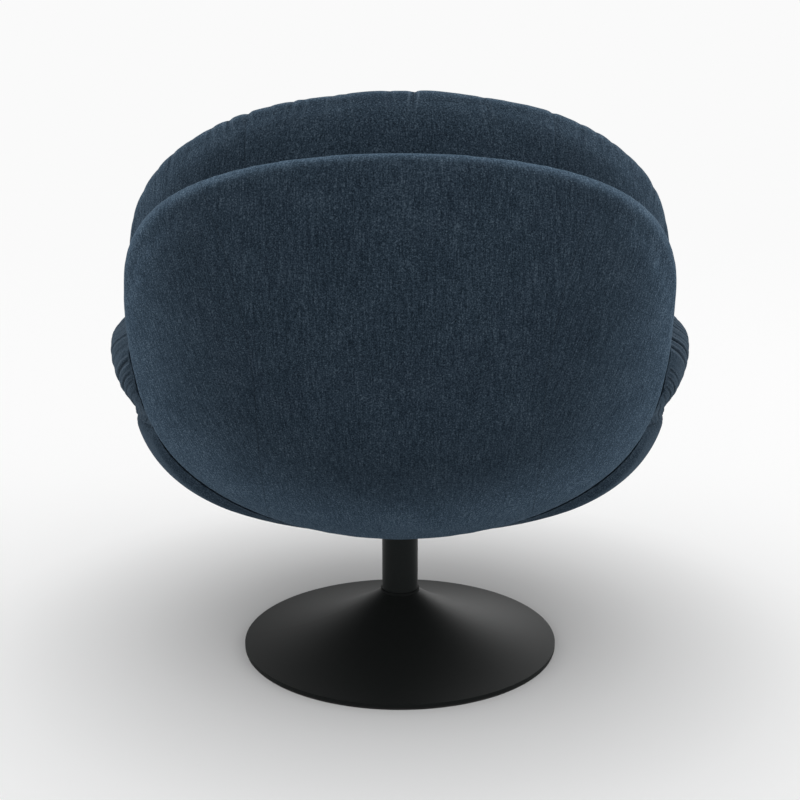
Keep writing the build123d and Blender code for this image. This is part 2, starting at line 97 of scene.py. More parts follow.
def add(tree, kind, **values):
    """A node with some of its settings or input sockets set by name."""
    node = tree.nodes.new(kind)
    for key, value in values.items():
        socket = node.inputs.get(key.replace("_", " ").title())
        if socket:
            socket.default_value = value
        else:
            setattr(node, key, value)
    return node


def ramp(tree, source, stops):
    """A colour ramp with the given (place, colour) stops, fed by a socket."""
    node = tree.nodes.new("ShaderNodeValToRGB")
    elements = node.color_ramp.elements
    elements[0].position, elements[0].color = stops[0][0], (*stops[0][1], 1)
    elements[1].position, elements[1].color = stops[-1][0], (*stops[-1][1], 1)
    for place, colour in stops[1:-1]:
        element = elements.new(place)
        element.color = (*colour, 1)
    tree.links.new(source, node.inputs[0])
    return node.outputs[0]


def math_node(tree, operation, *values):
    """A maths node fed by sockets or numbers."""
    node = tree.nodes.new("ShaderNodeMath")
    node.operation = operation
    for place, value in enumerate(values):
        if isinstance(value, (int, float)):
            node.inputs[place].default_value = value
        else:
            tree.links.new(value, node.inputs[place])
    return node.outputs[0]


def seen_directly(tree):
    """1 for the camera and for what it sees in metal or glass, 0 for light that bounces."""
    path = tree.nodes.new("ShaderNodeLightPath").outputs
    mirrored = math_node(tree, "MAXIMUM", path["Is Glossy Ray"], path["Is Transmission Ray"])
    return math_node(tree, "MAXIMUM", path["Is Camera Ray"], mirrored)


# %% World, floor and soft panels
world_level = 1.0
room_white = 0.956
floor_reach = 60.0
# Painted shade on the floor: shares of white that darken it towards a point under the chair, and a darker
# grey for light that bounces off it.
floor_shade_middle = (0.0, -0.10, 0.0)
floor_shade_reach = 0.70
floor_bounce = 0.4
floor_roughness = 0.9
floor_shades = [
    (0.0, 0.50), (0.36, 0.68), (0.47, 0.77), (0.60, 0.85), (0.76, 0.915), (0.89, 0.975), (1.0, 1.0),
]

world = bpy.data.worlds.new("white_room")
bpy.context.scene.world = world
world.use_nodes = True
world_tree = world.node_tree
world_tree.nodes.clear()
world_out = world_tree.nodes.new("ShaderNodeOutputWorld")
room_light = add(world_tree, "ShaderNodeBackground", color=(1, 1, 1, 1), strength=world_level)
room_colour = (room_white, room_white, room_white, 1)
room_seen = add(world_tree, "ShaderNodeBackground", color=room_colour, strength=1.0)
room_mix = world_tree.nodes.new("ShaderNodeMixShader")
world_tree.links.new(seen_directly(world_tree), room_mix.inputs[0])
world_tree.links.new(room_light.outputs[0], room_mix.inputs[1])
world_tree.links.new(room_seen.outputs[0], room_mix.inputs[2])
world_tree.links.new(room_mix.outputs[0], world_out.inputs[0])

floor_mesh = bpy.data.meshes.new("floor")
bm = bmesh.new()
bmesh.ops.create_circle(bm, cap_ends=True, segments=96, radius=floor_reach)
bm.to_mesh(floor_mesh)
bm.free()
floor = bpy.data.objects.new("floor", floor_mesh)
bpy.context.collection.objects.link(floor)

floor_finish, tree, shader = new_material("pale_floor")
floor_place = tree.nodes.new("ShaderNodeTexCoord")
from_middle = tree.nodes.new("ShaderNodeVectorMath")
from_middle.operation = "DISTANCE"
from_middle.inputs[1].default_value = floor_shade_middle
tree.links.new(floor_place.outputs["Object"], from_middle.inputs[0])
# Painted shade: the floor's colour darkens towards the chair; bounced light sees the flat darker grey
# instead.
floor_out = math_node(tree, "DIVIDE", from_middle.outputs["Value"], floor_shade_reach)
floor_stops = [(place, (share * room_white,) * 3) for place, share in floor_shades]
floor_colour = ramp(tree, floor_out, floor_stops)
floor_mix = add(tree, "ShaderNodeMix", data_type="RGBA")
floor_mix.inputs[6].default_value = (floor_bounce, floor_bounce, floor_bounce, 1)
tree.links.new(seen_directly(tree), floor_mix.inputs["Factor"])
tree.links.new(floor_colour, floor_mix.inputs[7])
tree.links.new(floor_mix.outputs[2], shader.inputs["Base Color"])
shader.inputs["Roughness"].default_value = floor_roughness
shader.inputs["Specular IOR Level"].default_value = 0.0
floor_mesh.materials.append(floor_finish)


def soft_panel(name, place, target, size, watts):
    """A square lamp that faces a point."""
    data = bpy.data.lights.new(name, "AREA")
    data.shape = "RECTANGLE"
    data.size, data.size_y = size
    data.energy = watts
    lamp = bpy.data.objects.new(name, data)
    lamp.location = place
    lamp.rotation_euler = (Vector(target) - Vector(place)).to_track_quat("-Z", "Y").to_euler()
    bpy.context.collection.objects.link(lamp)
    return lamp


chair_middle = (0, 0, 0.45)
base_flank = (-0.16, 0, 0)
soft_panel("panel_right", (-6.0, 2.3, 3.0), chair_middle, size=(3.0, 3.0), watts=30)
gleam = soft_panel("panel_gleam", (-1.3, -3.2, 1.0), base_flank, size=(1.5, 1.5), watts=15)
gleam.visible_diffuse = False
gleam.visible_camera = False
print("studio ready")

# %% [markdown]
# ## The cloth
# The cover is a dark blue melange: yarns of several blues and greys spun together, woven with a soft
# nap. Its sheen is partly a real sheen and partly painted into its colour, which turns pale where the
# cloth is seen edge-on. Each soft piece carries a "weave" attribute, its own width and length along
# the cloth in metres, so that the yarns follow the piece instead of the room.

# %% Melange cloth
streak_scale = (620, 45, 620)
fleck_scale = 560.0
cloud_scale = 18.0
streak_part, fleck_part, cloud_part = 0.26, 0.66, 0.08
yarn_tones = [
    (0.36, (0.0064, 0.0120, 0.0194)),
    (0.47, (0.0166, 0.0285, 0.0428)),
    (0.56, (0.0345, 0.0540, 0.0770)),
    (0.68, (0.0900, 0.1250, 0.1600)),
]
# Painted sheen: the range of facing over which the cloth's colour is made paler, and by how much.
painted_sheen_facing = (0.22, 0.64)
painted_sheen_gain = 1.3
# Painted highlight on the ridge beside each crease, and painted shade in each crease; the shade tone also
# colours the dark seam lines.
ridge_place, ridge_width, ridge_highlight_share = 0.26, 0.09, 0.6
ridge_highlight_tone = (0.150, 0.200, 0.255, 1)
crease_width, crease_shade_share = 0.14, 0.7
seam_width, seam_share = 0.0014, 0.35
shade_and_seam_tone = (0.002, 0.003, 0.005, 1)


def melange_cloth():
    """Speckled wool-like cloth with painted sheen where it is seen edge-on, painted shade in its creases,
    painted highlights on their ridges, and dark seam lines.
    """
    material, tree, shader = new_material("melange_cloth")
    link = tree.links.new
    weave = add(tree, "ShaderNodeAttribute", attribute_name="weave")
    place = tree.nodes.new("ShaderNodeTexCoord").outputs["Object"]
    streak_place = tree.nodes.new("ShaderNodeMapping")
    streak_place.inputs["Scale"].default_value = streak_scale
    link(weave.outputs["Vector"], streak_place.inputs["Vector"])
    streaks = add(tree, "ShaderNodeTexNoise", scale=1.0, detail=2.0, roughness=0.6)
    link(streak_place.outputs[0], streaks.inputs["Vector"])
    flecks = add(tree, "ShaderNodeTexNoise", scale=fleck_scale, detail=2.0, roughness=0.7)
    link(place, flecks.inputs["Vector"])
    clouds = add(tree, "ShaderNodeTexNoise", scale=cloud_scale, detail=3.0, roughness=0.5)
    link(place, clouds.inputs["Vector"])
    streak_share = math_node(tree, "MULTIPLY", streaks.outputs[0], streak_part)
    mixed = math_node(tree, "MULTIPLY_ADD", flecks.outputs[0], fleck_part, streak_share)
    cloud_share = math_node(tree, "MULTIPLY", clouds.outputs[0], cloud_part)
    tone = math_node(tree, "ADD", mixed, cloud_share)
    yarn_colour = ramp(tree, tone, yarn_tones)

    # Painted sheen: where the cloth is seen edge-on its colour is made paler, as the sheen of a nap would
    # make it. A value stored on each piece sets how strong this painted sheen is there.
    edge_on = add(tree, "ShaderNodeLayerWeight", blend=0.5)
    painted_sheen_rise = add(tree, "ShaderNodeMapRange", interpolation_type="SMOOTHSTEP")
    painted_sheen_rise.inputs["From Min"].default_value, painted_sheen_rise.inputs["From Max"].default_value = painted_sheen_facing
    painted_sheen_rise.inputs["To Min"].default_value, painted_sheen_rise.inputs["To Max"].default_value = 0.0, painted_sheen_gain
    link(edge_on.outputs["Facing"], painted_sheen_rise.inputs["Value"])
    painted_sheen_share = add(tree, "ShaderNodeAttribute", attribute_name="nap_and_sheen")
    painted_sheen_scale = math_node(tree, "MULTIPLY_ADD", painted_sheen_rise.outputs[0], painted_sheen_share.outputs["Fac"], 1.0)
    sheen_painted_colour = tree.nodes.new("ShaderNodeVectorMath")
    sheen_painted_colour.operation = "SCALE"
    link(yarn_colour, sheen_painted_colour.inputs[0])
    link(painted_sheen_scale, sheen_painted_colour.inputs["Scale"])

    # Folds: the "fold" attribute counts creases, so a crease lies at each whole number.
    fold = add(tree, "ShaderNodeAttribute", attribute_name="fold")
    fold_depth = add(tree, "ShaderNodeAttribute", attribute_name="fold_depth")
    nearest = math_node(tree, "ROUND", fold.outputs["Fac"])
    off_crease = math_node(tree, "ABSOLUTE", math_node(tree, "SUBTRACT", fold.outputs["Fac"], nearest))
    deep = fold_depth.outputs["Fac"]
    ridge_side = math_node(tree, "DIVIDE", math_node(tree, "SUBTRACT", off_crease, ridge_place), ridge_width)
    off_ridge = math_node(tree, "MINIMUM", math_node(tree, "ABSOLUTE", ridge_side), 1.0)
    on_ridge = math_node(tree, "MULTIPLY", math_node(tree, "SUBTRACT", 1.0, off_ridge), deep)
    crease_wall = math_node(tree, "MINIMUM", math_node(tree, "DIVIDE", off_crease, crease_width), 1.0)
    in_crease = math_node(tree, "MULTIPLY", math_node(tree, "SUBTRACT", 1.0, crease_wall), deep)

    # Seams: the "seam" attribute is the distance to the nearest line of stitches.
    seam = add(tree, "ShaderNodeAttribute", attribute_name="seam")
    seam_near = math_node(tree, "ABSOLUTE", math_node(tree, "DIVIDE", seam.outputs["Fac"], seam_width))
    in_seam = math_node(tree, "SUBTRACT", 1.0, math_node(tree, "MINIMUM", seam_near, 1.0))

    # Painted shade in the creases, together with the seams' dark lines, and a painted highlight along each
    # ridge.
    painted_crease_shade = math_node(tree, "MULTIPLY", in_crease, crease_shade_share)
    seam_hollow = math_node(tree, "MULTIPLY", in_seam, seam_share)
    crease_shade_and_seam_line = math_node(tree, "MAXIMUM", painted_crease_shade, seam_hollow)
    darker = add(tree, "ShaderNodeMix", data_type="RGBA")
    darker.inputs[7].default_value = shade_and_seam_tone
    link(crease_shade_and_seam_line, darker.inputs["Factor"])
    ridge_highlight_mix = add(tree, "ShaderNodeMix", data_type="RGBA")
    ridge_highlight_mix.inputs[7].default_value = ridge_highlight_tone
    link(math_node(tree, "MULTIPLY", on_ridge, ridge_highlight_share), ridge_highlight_mix.inputs["Factor"])
    link(sheen_painted_colour.outputs[0], ridge_highlight_mix.inputs[6])
    link(ridge_highlight_mix.outputs[2], darker.inputs[6])
    link(darker.outputs[2], shader.inputs["Base Color"])
    rough = math_node(tree, "MULTIPLY_ADD", flecks.outputs[0], 0.2, 0.8)
    link(rough, shader.inputs["Roughness"])
    shader.inputs["Specular IOR Level"].default_value = 0.06
    shader.inputs["Sheen Weight"].default_value = 0.15
    shader.inputs["Sheen Roughness"].default_value = 0.43
    shader.inputs["Sheen Tint"].default_value = (0.50, 0.74, 1.0, 1)

    yarns = add(tree, "ShaderNodeTexVoronoi", scale=fleck_scale)
    link(place, yarns.inputs["Vector"])
    nap_and_sheen = math_node(tree, "ADD", yarns.outputs["Distance"], flecks.outputs[0])
    surface = add(tree, "ShaderNodeBump", strength=0.5, distance=0.0007)
    link(nap_and_sheen, surface.inputs["Height"])
    dips = math_node(tree, "SUBTRACT", 1.0, in_crease)
    sewn = add(tree, "ShaderNodeBump", strength=0.9, distance=0.003)
    link(dips, sewn.inputs["Height"])
    link(surface.outputs[0], sewn.inputs["Normal"])
    link(sewn.outputs[0], shader.inputs["Normal"])
    return material


cloth = melange_cloth()
print("made", cloth.name)

# %% [markdown]
# ## The metal, wood and hidden pieces
# The base and column are matt black powder coat, which is baked paint with a fine orange peel. The
# inner pieces are seen only when the chair is taken apart, but each has its own finish too. The back
# board's edge shows between the pad and the cushion, so a dark lining covers it.

# %% Powder coat, steel, cast iron, plywood, foam, felt and bearing plastic
def grainy_finish(name, colours, grain, stretch, roughness, metallic, bump, shine=0.5, gleam_tint=(1, 1, 1)):
    """A finish with noise in its colour, roughness and bump, on object coordinates."""
    material, tree, shader = new_material(name)
    link = tree.links.new
    place = tree.nodes.new("ShaderNodeTexCoord")
    mapping = tree.nodes.new("ShaderNodeMapping")
    mapping.inputs["Scale"].default_value = stretch
    link(place.outputs["Object"], mapping.inputs["Vector"])
    noise = add(tree, "ShaderNodeTexNoise", scale=grain, detail=4.0, roughness=0.6)
    link(mapping.outputs[0], noise.inputs["Vector"])
    link(ramp(tree, noise.outputs[0], [(0.35, colours[0]), (0.65, colours[1])]), shader.inputs["Base Color"])
    rough = math_node(tree, "MULTIPLY_ADD", noise.outputs[0], 0.12, roughness - 0.06)
    link(rough, shader.inputs["Roughness"])
    shader.inputs["Metallic"].default_value = metallic
    shader.inputs["Specular IOR Level"].default_value = shine
    shader.inputs["Specular Tint"].default_value = (*gleam_tint, 1)
    lumps = add(tree, "ShaderNodeBump", strength=0.25, distance=bump)
    link(noise.outputs[0], lumps.inputs["Height"])
    link(lumps.outputs[0], shader.inputs["Normal"])
    return material


even = (1, 1, 1)
upright = (1, 1, 0.05)
cool = (0.87, 0.98, 1.0)
finishes = {
    "black_coat": grainy_finish(
        "matt_powder_coat", ((0.0074, 0.0083, 0.0081), (0.0108, 0.0119, 0.0116)),
        900, even, 0.48, 0.0, 0.0002, 0.065, cool,
    ),
    "steel": grainy_finish(
        "plain_steel", ((0.42, 0.42, 0.43), (0.55, 0.55, 0.56)), 300, upright, 0.35, 1.0, 0.0001
    ),
    "cast": grainy_finish("cast_iron", ((0.05, 0.05, 0.05), (0.09, 0.09, 0.09)), 250, even, 0.7, 0.6, 0.0006),
    "plywood": grainy_finish(
        "moulded_plywood", ((0.42, 0.27, 0.14), (0.60, 0.42, 0.24)), 60, (1, 8, 8), 0.55, 0.0, 0.0002
    ),
    "foam": grainy_finish("cut_foam", ((0.50, 0.46, 0.34), (0.66, 0.62, 0.50)), 500, even, 0.95, 0.0, 0.001),
    "felt": grainy_finish(
        "black_felt", ((0.006, 0.006, 0.006), (0.018, 0.018, 0.018)), 800, even, 0.95, 0.0, 0.001
    ),
    "bush_plastic": grainy_finish(
        "bearing_plastic", ((0.50, 0.50, 0.45), (0.56, 0.56, 0.51)), 200, even, 0.4, 0.0, 0.0001
    ),
}
# The column's coat is the base's coat with its colour painted a little lighter, standing in for light that
# falls on the column, and with more shine.
column_coat_painted_lighter = grainy_finish(
    "powder_coat_painted_lighter", ((0.0086, 0.0096, 0.0093), (0.0120, 0.0133, 0.0129)),
    900, even, 0.42, 0.0, 0.0002, 0.13, cool,
)
board_lining = grainy_finish(
    "board_lining", ((0.0050, 0.0085, 0.0130), (0.0110, 0.0175, 0.0250)),
    700, even, 0.9, 0.0, 0.0004, 0.06,
)
node_finishes = {"column_tube": column_coat_painted_lighter, "back_board": board_lining}
slot_of = {part["node"]: part["material_slot"] for part in frame["record"]["subparts"]}
for name, node in nodes.items():
    finish = node_finishes.get(name, finishes.get(slot_of[name]))
    if finish:
        node.data.materials.clear()
        node.data.materials.append(finish)
print("finishes on", sum(slot_of[n] in finishes for n in nodes), "rigid nodes")

# %% [markdown]
# ## Stuffing a soft piece
# Each soft solid is copied from the frame, cut into an even net of small faces, drawn in a little and
# blown up again as cloth with a light pressure. Where it lies against a neighbour it is pinned, so it
# stays flat there. The swelling is capped, so the piece keeps the size that the frame gives it. Thin
# edges, which the net rounds off, are drawn out again and tucked against the back pad.

# %% Meshes in and out
def read_points(mesh):
    """The places of a mesh's points, one per row."""
    points = np.empty(len(mesh.vertices) * 3)
    mesh.vertices.foreach_get("co", points)
    return points.reshape(-1, 3)


def write_points(mesh, points):
    """Move a mesh's points to new places."""
    mesh.vertices.foreach_set("co", points.ravel())
    mesh.update()


def read_normals(mesh):
    """The way out of a mesh at each point."""
    normals = np.empty(len(mesh.vertices) * 3)
    mesh.vertex_normals.foreach_get("vector", normals)
    return normals.reshape(-1, 3)


def baked(piece):
    """The piece's mesh with its modifiers applied."""
    shown = piece.evaluated_get(bpy.context.evaluated_depsgraph_get())
    return bpy.data.meshes.new_from_object(shown)


def take(piece, mesh):
    """Give the piece a finished mesh, without modifiers."""
    piece.modifiers.clear()
    old = piece.data
    piece.data = mesh
    bpy.data.meshes.remove(old)


def soft_copy(node_name, name, net):
    """A copy of a soft solid as one skin with an even net of faces."""
    bm = bmesh.new()
    bm.from_mesh(nodes[node_name].data)
    bmesh.ops.remove_doubles(bm, verts=bm.verts, dist=1e-5)
    mesh = bpy.data.meshes.new(name)
    bm.to_mesh(mesh)
    bm.free()
    mesh.materials.clear()
    piece = bpy.data.objects.new(name, mesh)
    bpy.context.collection.objects.link(piece)
    remesh = piece.modifiers.new("net", "REMESH")
    remesh.mode = "VOXEL"
    remesh.voxel_size = net
    take(piece, baked(piece))
    return piece


# %% [markdown]
# ## Beside its neighbours
# A stuffed piece is flat where it touches the next one and round where it is free. So each point of the
# net needs its distance to the neighbouring solids, which a search tree over their faces finds quickly.

# %% Distances to neighbours and to seams
neighbour_reach = 0.03
seam_hold = 0.012


def ease(value, low, high):
    """0 below low, 1 above high, and a smooth rise between them."""
    share = np.clip((value - low) / (high - low), 0, 1)
    return share * share * (3 - 2 * share)


def near_line(distance):
    """1 on a line of stitches, falling to 0 beside it."""
    return 1 - np.clip(np.abs(distance) / seam_hold, 0, 1)


def node_tree(node_name):
    """A search tree over the faces of a CAD node."""
    bm = bmesh.new()
    bm.from_mesh(nodes[node_name].data)
    tree = BVHTree.FromBMesh(bm)
    bm.free()
    return tree


def neighbour_gap(points, neighbours):
    """Distance from each point to the nearest of some CAD nodes."""
    gaps = np.full(len(points), 1.0)
    for neighbour in neighbours:
        tree = node_tree(neighbour)
        for i, point in enumerate(points):
            found = tree.find_nearest(point, neighbour_reach)
            if found[3] is not None:
                gaps[i] = min(gaps[i], found[3])
    return gaps


# %% [markdown]
# ## Thin edges
# The roll and the shell end in thin wedges against the back pad. A finer net would keep them, but it would
# make the cloth slow to simulate, so the coarse net's edge is drawn out again to the solid's own edge.

# %% Tucking thin edges in
thin_edge_turn = math.radians(105)
edge_step = 0.002
edge_reach = 0.0125
edge_blend = 0.012
tuck_reach = 0.028


def thin_edge(node_name, neighbour, clearance):
    """Points along a CAD node's thin edges beside a neighbour, and the way from each to that neighbour."""
    bm = bmesh.new()
    bm.from_mesh(nodes[node_name].data)
    bmesh.ops.remove_doubles(bm, verts=bm.verts, dist=1e-5)
    tree = node_tree(neighbour)
    places, ways = [], []
    for edge in bm.edges:
        if len(edge.link_faces) == 2 and edge.calc_face_angle_signed(0.0) > thin_edge_turn:
            first, last = (vert.co for vert in edge.verts)
            for step in range(int((last - first).length / edge_step) + 2):
                point = first.lerp(last, min(1.0, step * edge_step / (last - first).length))
                touch, normal, face, gap = tree.find_nearest(point, edge_reach)
                if gap is not None:
                    places.append(np.array(point))
                    ways.append(np.array(touch - point) * max(0.0, 1 - clearance / max(gap, 1e-6)))
    bm.free()
    return places, ways


def point_tree(points):
    """A search tree over points."""
    tree = KDTree(len(points))
    for i, point in enumerate(points):
        tree.insert(point, i)
    tree.balance()
    return tree


def tuck(piece, node_name, neighbour, clearance):
    """Draw a net out to the thin edges that it has rounded off, and lay those against the neighbour."""
    places, ways = thin_edge(node_name, neighbour, clearance)
    points = read_points(piece.data)
    net, edge = point_tree(points), point_tree(places)
    lost = [net.find(place)[2] for place in places]
    lost = [np.mean([lost[j] for spot, j, far in edge.find_range(place, edge_blend)]) for place in places]
    solid = node_tree(neighbour)
    for i, point in enumerate(points):
        spot, j, gap = edge.find(point)
        if 0 < gap < tuck_reach:
            kept = max(0.0, gap - lost[j]) / (tuck_reach - lost[j])
            point = places[j] + (point - places[j]) * kept * tuck_reach / gap + ways[j] * (1 - kept) ** 2
            touch, normal, face, gap = solid.find_nearest(point, tuck_reach)
            if gap is not None:
                clear = float((point - np.array(touch)) @ np.array(normal))
                point = point + np.array(normal) * max(0.0, clearance - clear)
            points[i] = point
    write_points(piece.data, points)
    drawn = round(1000 * float(np.mean(lost)), 1)
    print(piece.name, "edge drawn out by", drawn, "mm along", len(places), "points")


# %% [markdown]
# ## Swelling
# Foam presses a cover outward between its seams. Moving points along their normals would give that too,
# but Blender's cloth with a light pressure lets the skin find its own bulge between the pinned places.

# %% Smoothing and swelling
crisp_reach = 0.009
contact_reach = 0.004
contact_draw = 0.0008
pin_fade = 0.02
cloth_point_mass = 0.0003
swell_steps = 20


def relax(piece, rounds, neighbours):
    """Smooth the net, but only once beside the neighbours, so that cut edges stay crisp there."""
    gaps = neighbour_gap(read_points(piece.data), neighbours)
    bm = bmesh.new()
    bm.from_mesh(piece.data)
    away = [vert for vert in bm.verts if gaps[vert.index] > crisp_reach]
    all_ways = dict(use_axis_x=True, use_axis_y=True, use_axis_z=True)
    for i in range(rounds):
        bmesh.ops.smooth_vert(bm, verts=away if i else bm.verts, factor=0.5, **all_ways)
    bm.to_mesh(piece.data)
    bm.free()


def swell(piece, neighbours, held, draw_in, cap, pressure):
    """Draw the skin in, blow it up as cloth between its held lines, and keep the result within a cap."""
    start = read_points(piece.data)
    normals = read_normals(piece.data)
    gaps = neighbour_gap(start, neighbours)
    loose = np.clip((gaps - contact_reach) / pin_fade, 0, 1)
    free = loose * (1 - held)
    smaller = start - normals * (contact_draw * (1 - loose) + draw_in * free)[:, None]
    write_points(piece.data, smaller)
    pins = piece.vertex_groups.new(name="pins")
    for i in np.nonzero(free < 1)[0]:
        pins.add([int(i)], float(1 - free[i]), "REPLACE")
    puff = piece.modifiers.new("puff", "CLOTH")
    settings = puff.settings
    settings.quality = 3
    settings.mass = cloth_point_mass
    settings.tension_stiffness = 12
    settings.compression_stiffness = 12
    settings.shear_stiffness = 5
    settings.bending_stiffness = 0.6
    settings.use_pressure = True
    settings.uniform_pressure_force = pressure
    settings.vertex_group_mass = "pins"
    settings.effector_weights.gravity = 0
    puff.collision_settings.use_collision = False
    scene = bpy.context.scene
    for step in range(1, swell_steps + 1):
        scene.frame_set(step)
    full = read_points(baked(piece))
    scene.frame_set(1)
    piece.modifiers.clear()
    piece.vertex_groups.clear()
    move = full - smaller
    inward = np.minimum((move * normals).sum(1), 0)
    move -= normals * inward[:, None]
    length = np.linalg.norm(move, axis=1)
    kept = np.minimum(length, cap) / np.maximum(length, 1e-9)
    write_points(piece.data, smaller + move * kept[:, None])
    most = round(float(length.max()) * 1000, 1)
    print(piece.name, "swelled", most, "mm at most, kept to", cap * 1000, "mm")
    return gaps


def refine(piece):
    """Split every face in four, smoothly."""
    split = piece.modifiers.new("split", "SUBSURF")
    split.levels = split.render_levels = 1
    take(piece, baked(piece))


# %% [markdown]
# ## Gathers
# Where a long edge of cloth is sewn to a shorter one it is gathered, and the spare cloth makes uneven
# creases. They are real hollows in the mesh.

# %% Gathers and the cloth's own measures
crease_spread = (0.55, 1.45)
crease_sizes = (0.35, 1.0)
steep_side, slow_side = 0.17, 0.28


def set_attribute(piece, name, kind, values):
    """Store a value per point, which the cloth's material reads."""
    layer = piece.data.attributes.new(name, kind, "POINT")
    field = "vector" if kind == "FLOAT_VECTOR" else "value"
    layer.data.foreach_set(field, np.ascontiguousarray(values).ravel())


def gather_places(seed, start, end, spacing):
    """Uneven places of creases along a seam."""
    chance = np.random.default_rng(seed)
    steps = spacing * chance.uniform(*crease_spread, int((end - start) / spacing * 1.5) + 2)
    return start + np.concatenate([[0.0], np.cumsum(steps)])


def gather(seed, along, across, places, wave, width=None, sizes=None):
    """Crease count along a seam, and the depth of the crease that is nearest, from 0 to 1."""
    chance = np.random.default_rng(seed)
    count = np.interp(along, places, np.arange(len(places)))
    nearest = np.round(count).astype(int)
    if width:
        count = nearest + np.clip((along - np.asarray(places)[nearest]) / width, -0.49, 0.49)
    size = chance.uniform(*crease_sizes, len(places))
    if sizes is not None:
        size = np.where(np.isnan(sizes), size, sizes)
    phase = chance.uniform(0, 2 * math.pi, len(places))
    depth = size[nearest] * (0.7 + 0.3 * np.sin(2 * math.pi * across / wave + phase[nearest]))
    return count, depth


def crease(count, depth):
    """Height of gathered cloth: down into each crease, steeply on one side and slowly on the other."""
    off = count - np.round(count)
    steep = np.exp(-(off / steep_side) ** 2)
    foot = math.exp(-0.5 / slow_side)
    slow = (np.exp(-np.abs(off) / slow_side) - foot) / (1 - foot)
    return -depth * np.where(off < 0, steep, slow)


# %% Dressing a finished piece
def dress(piece, body, node_name, nap_and_sheen):
    """Cloth with its share of painted sheen, smooth shading, and a place in the frame."""
    set_attribute(piece, "nap_and_sheen", "FLOAT", np.full(len(piece.data.vertices), nap_and_sheen))
    piece.data.materials.clear()
    piece.data.materials.append(cloth)
    piece.data.polygons.foreach_set("use_smooth", [True] * len(piece.data.polygons))
    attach(piece, body)
    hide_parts(node_name)
    print(piece.name, len(piece.data.polygons), "faces")


# %% [markdown]
# ## The back pad
# The outer back is a firm pad, tight over its foam. Its cover is sewn from a middle panel and two side
# panels, whose grain leans away from the middle. The two seams curve outward towards the top. The pad
# could be the bare solid, but a stuffed cover is never that even, so it is swelled a little between its
# rims, and the seams are drawn as thin dark lines because they hardly dent such a tight pad.

# %% Back pad
seam_foot = 0.176
seam_foot_height = 0.425
seam_spread = 0.048
seam_spread_height = 0.245
side_grain_lean = math.radians(16)
back_axis_y = -0.127
back_wrap = 0.45
rim_facing = (0.35, 0.75)
dish_joint_z = 0.420
dish_lower_centre = np.array([0.181, 0.480])
dish_upper_centre = np.array([-0.611, 0.649])


def back_seam_x(height):
    """Half the width of the middle panel at a height."""
    up = np.clip((height - seam_foot_height) / seam_spread_height, 0, None)
    return seam_foot + seam_spread * up ** 2


def back_rim(points, normals):
    """1 on the rounded rim of the back, 0 on its two faces."""
    out = np.hypot(points[:, 0], points[:, 1] - back_axis_y)
    centre = np.where(points[:, 2:3] < dish_joint_z, dish_lower_centre, dish_upper_centre)
    slope = np.stack([out, points[:, 2]], 1) - centre
    slope /= np.linalg.norm(slope, axis=1)[:, None]
    along = normals[:, 0] * points[:, 0] + normals[:, 1] * (points[:, 1] - back_axis_y)
    outward = along / np.maximum(out, 1e-6)
    facing = np.abs(outward * slope[:, 0] + normals[:, 2] * slope[:, 1])
    return 1 - ease(facing, *rim_facing)


back_pad_neighbours = ["back_board", "seat_shell_pad", "seat_cushion", "back_cushion"]
back_pad = soft_copy("back_shell_pad", "back_pad", net=0.006)
relax(back_pad, 3, back_pad_neighbours)
held = back_rim(read_points(back_pad.data), read_normals(back_pad.data))
swell(back_pad, back_pad_neighbours, held, draw_in=0.001, cap=0.005, pressure=4.0)
refine(back_pad)
points = read_points(back_pad.data)
around = np.arctan2(points[:, 0], points[:, 1] - back_axis_y) * back_wrap
side = np.abs(points[:, 0]) - back_seam_x(points[:, 2])
lean = np.where(side > 0, np.sign(points[:, 0]) * side_grain_lean, 0.0)
weave_u = around * np.cos(lean) - points[:, 2] * np.sin(lean)
weave_v = around * np.sin(lean) + points[:, 2] * np.cos(lean)
set_attribute(back_pad, "weave", "FLOAT_VECTOR", np.stack([weave_u, weave_v, points[:, 1] * 0.2], 1))
set_attribute(back_pad, "seam", "FLOAT", side)
dress(back_pad, "chair", "back_shell_pad", nap_and_sheen=1.0)

# %% [markdown]
# ## The back cushion
# A plump loose cushion stands inside the back and shows above it. Two upright seams run over its crown,
# where the cloth of the front is gathered into the edge, so the crown has small lumps and short creases.
# The lumps are few and stand at known places along the outline, so those are listed.

# %% Back cushion
crown_seam = 0.187
crown_top = 0.807
crown_widest = 0.600
crown_half_width = 0.368
crown_power = 2.22
crown_depth = 0.0024
crown_crease_width = 0.022
crown_creases = [
    -0.360, -0.335, -0.310, -0.290, -0.268, -0.245, -0.224, -0.187, -0.100, -0.017, 0.013, 0.066,
    0.080, 0.115, 0.129, 0.158, 0.187, 0.212, 0.235, 0.262, 0.290, 0.315, 0.340, 0.360,
]
crown_lift = 0.0016
notch_depth = 0.0010
notch_width = 0.0035
lump_depth = 0.0012
top_lump_x = -0.036
top_lump_width = 0.028
top_lump_height = 0.0024
crease_sway, crease_sway_wave = 0.25, 40
crease_run_back, crease_run_front = 0.016, 0.055
crease_wave = 0.09
crease_fade = (0.002, 0.015)
plump_fade = (0.004, 0.03)
cushion_wrap = 0.4
cushion_rim_facing = (0.25, 0.65)
back_cushion_neighbours = ["back_board", "back_shell_pad", "seat_cushion"]


def crown_height(x):
    """Height of the cushion's crown at a distance from the middle."""
    share = np.clip(1 - (np.abs(x) / crown_half_width) ** crown_power, 0, 1) ** (1 / crown_power)
    return crown_widest + (crown_top - crown_widest) * share


